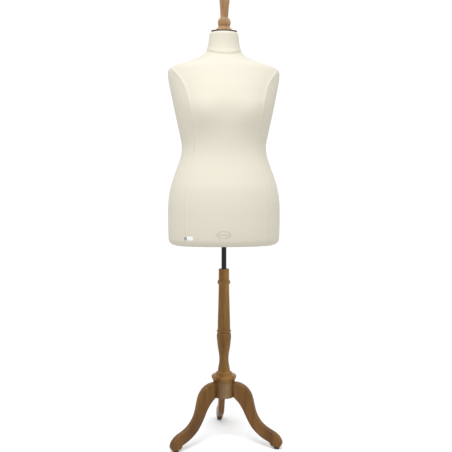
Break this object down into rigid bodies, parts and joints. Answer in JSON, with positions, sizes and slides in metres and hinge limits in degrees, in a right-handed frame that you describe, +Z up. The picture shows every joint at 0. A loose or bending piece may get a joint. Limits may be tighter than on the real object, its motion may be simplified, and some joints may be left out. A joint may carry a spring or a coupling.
{
  "type": "dress form mannequin",
  "caption": "Jersey-covered female torso dress form with a turned wooden finial, on a height-adjustable steel pole and a turned column with curved tripod legs.",
  "frame": {"origin": "on the floor, at the centre of the form's footprint box", "axes": "+Z up along the column, the front of the form faces -Y, +X to the viewer's right when facing the front"},
  "size_m": [0.4242, 0.4021, 1.6716],
  "materials": {
    "stand_wood": "satin varnish",
    "finial_wood": "satin varnish",
    "dowel_wood": "raw",
    "plywood": "raw",
    "card": "raw papier-mache",
    "jersey": "fine knit",
    "tag": "woven",
    "pole_steel": "polished",
    "steel": "plain",
    "brass": "plain",
    "black_plastic": "matte",
    "rubber": "matte"
  },
  "bodies": {
    "stand": {"column": "stand_wood", "hub": "stand_wood", "hub_plug": "stand_wood", "leg_front_left": "stand_wood", "leg_front_right": "stand_wood", "leg_back": "stand_wood", "glide_front_left": "rubber", "glide_front_right": "rubber", "glide_back": "rubber", "leg_dowels": "dowel_wood", "leg_bolts": "steel", "column_bush": "black_plastic", "lock_insert": "brass"},
    "lock": {"lock_screw": "steel", "lock_knob": "black_plastic"},
    "pole": {"pole": "pole_steel", "pole_foot": "black_plastic", "pole_crown": "steel"},
    "torso": {"base_board": "plywood", "socket_flange": "steel", "socket_tube": "steel", "socket_cap": "steel", "flange_screws": "steel", "shell_front": "card", "shell_back": "card", "neck_block": "plywood", "neck_plate": "black_plastic", "plate_screws": "steel", "neck_stud": "steel", "cover_front": "jersey", "cover_side_left": "jersey", "cover_side_right": "jersey", "cover_back_left": "jersey", "cover_back_right": "jersey", "cover_neck": "jersey", "cover_hem": "jersey", "neck_piping": "jersey", "hem_tacks": "steel", "label_tab": "tag"},
    "finial": {"finial": "finial_wood", "finial_insert": "brass"}
  },
  "joints": [
    {"name": "lock_turn", "type": "hinge", "parent": "stand", "child": "lock", "pos_m": [0, -0.029, 0.625], "axis": [0, 1, 0], "range_deg": [0, 360]},
    {"name": "height", "type": "slide", "parent": "stand", "child": "pole", "axis": [0, 0, 1], "range_m": [-0.075, 0.2]},
    {"name": "swivel", "type": "hinge", "parent": "pole", "child": "torso", "pos_m": [0, -0.029, 0.87], "axis": [0, 0, 1], "continuous": true},
    {"name": "finial_turn", "type": "hinge", "parent": "torso", "child": "finial", "pos_m": [0, -0.035, 1.544], "axis": [0, -0.1736, 0.9848], "continuous": true}
  ]
}
